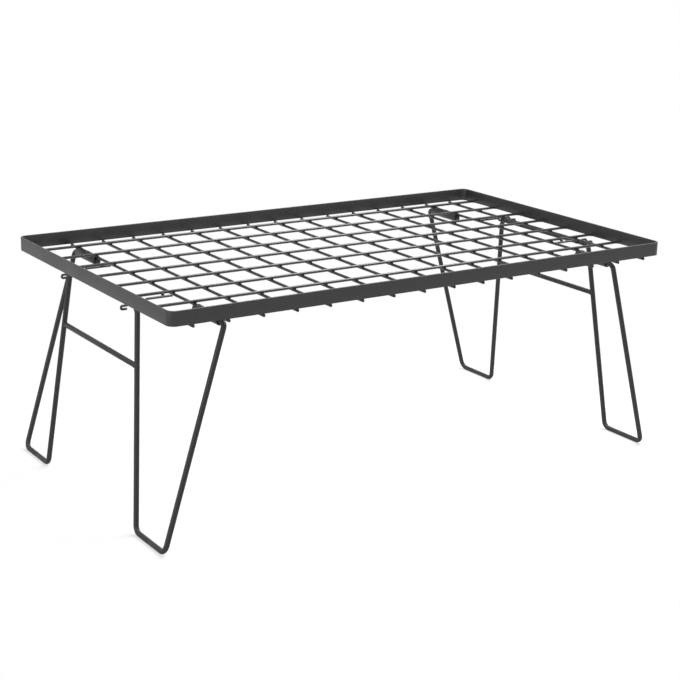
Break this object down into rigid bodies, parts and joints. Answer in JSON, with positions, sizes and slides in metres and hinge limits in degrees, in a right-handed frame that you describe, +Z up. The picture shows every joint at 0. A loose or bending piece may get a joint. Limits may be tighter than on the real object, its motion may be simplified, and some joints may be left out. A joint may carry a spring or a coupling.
{
  "type": "folding grill table",
  "caption": "Low folding grill table: a wire grid in a flat steel rim, on bent wire legs that swing in straps under the grid and fold flat at each end.",
  "frame": {"origin": "on the floor under the middle of the table", "axes": "+X along the table from its left end to its right end, +Y from its front to its rear, +Z up"},
  "size_m": [0.6114, 0.35, 0.238],
  "materials": {
    "rim": "semi-matte black coating",
    "grid": "semi-matte black coating",
    "sleeve": "semi-matte black coating",
    "catch": "semi-matte black coating",
    "leg": "semi-matte black coating"
  },
  "bodies": {
    "tabletop": {"rim": "rim", "long_wire_1": "grid", "long_wire_2": "grid", "long_wire_3": "grid", "long_wire_4": "grid", "long_wire_5": "grid", "long_wire_6": "grid", "long_wire_7": "grid", "long_wire_8": "grid", "cross_wire_01": "grid", "cross_wire_02": "grid", "cross_wire_03": "grid", "cross_wire_04": "grid", "cross_wire_05": "grid", "cross_wire_06": "grid", "cross_wire_07": "grid", "cross_wire_08": "grid", "cross_wire_09": "grid", "cross_wire_10": "grid", "cross_wire_11": "grid", "cross_wire_12": "grid", "cross_wire_13": "grid", "cross_wire_14": "grid", "cross_wire_15": "grid", "cross_wire_16": "grid", "hinge_sleeve_front_left": "sleeve", "hinge_sleeve_rear_left": "sleeve", "hinge_sleeve_front_right": "sleeve", "hinge_sleeve_rear_right": "sleeve", "catch_rod_front_left": "catch", "catch_rod_rear_left": "catch", "catch_rod_front_right": "catch", "catch_rod_rear_right": "catch"},
    "left_legs": {"leg_wire_front_left": "leg", "leg_wire_rear_left": "leg"},
    "left_frame": {"cross_frame_left": "leg", "crossbar_left": "leg"},
    "right_legs": {"leg_wire_front_right": "leg", "leg_wire_rear_right": "leg"},
    "right_frame": {"cross_frame_right": "leg", "crossbar_right": "leg"}
  },
  "joints": [
    {"name": "left_fold", "type": "hinge", "parent": "tabletop", "child": "left_legs", "pos_m": [-0.2392, 0, 0.2172], "axis": [0, -1, 0], "range_deg": [0, 106.56]},
    {"name": "left_spring", "type": "hinge", "parent": "left_legs", "child": "left_frame", "pos_m": [-0.303, 0, 0.00257], "axis": [0, 1, 0], "range_deg": [0, 11.51]},
    {"name": "right_fold", "type": "hinge", "parent": "tabletop", "child": "right_legs", "pos_m": [0.2392, 0, 0.2172], "axis": [0, 1, 0], "range_deg": [0, 106.56]},
    {"name": "right_spring", "type": "hinge", "parent": "right_legs", "child": "right_frame", "pos_m": [0.303, 0, 0.00257], "axis": [0, -1, 0], "range_deg": [0, 11.51]}
  ],
  "couplings": [
    {"joint": "left_spring", "follows": "left_fold", "ratio": 0.10789},
    {"joint": "right_spring", "follows": "right_fold", "ratio": 0.10789}
  ]
}
